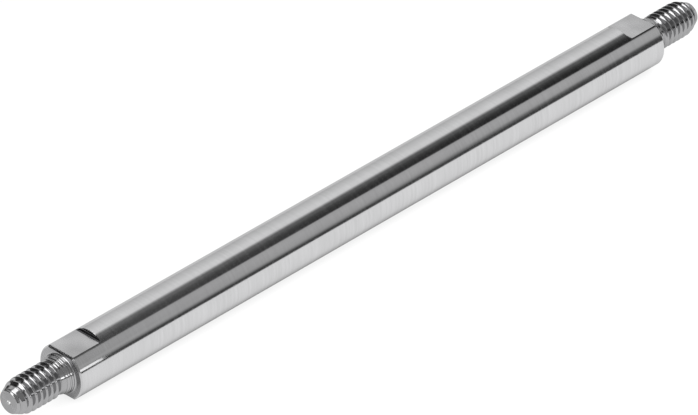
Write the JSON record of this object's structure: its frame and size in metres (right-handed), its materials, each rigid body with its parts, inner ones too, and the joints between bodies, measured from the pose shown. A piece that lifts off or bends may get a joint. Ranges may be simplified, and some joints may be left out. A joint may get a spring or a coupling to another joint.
{
  "type": "stepped shaft",
  "caption": "Slim round ground steel rod with a shouldered threaded stud and opposed spanner flats at each end.",
  "frame": {"origin": "on the axis, halfway between the two tip faces", "axes": "+X along the rod towards the right-hand stud, +Z square to the spanner flats"},
  "size_m": [0.1, 0.006, 0.006],
  "materials": {
    "ground_steel": "ground and polished round the body, milled flats, turned and threaded ends"
  },
  "bodies": {
    "root": {"shaft": "ground_steel"}
  },
  "joints": []
}
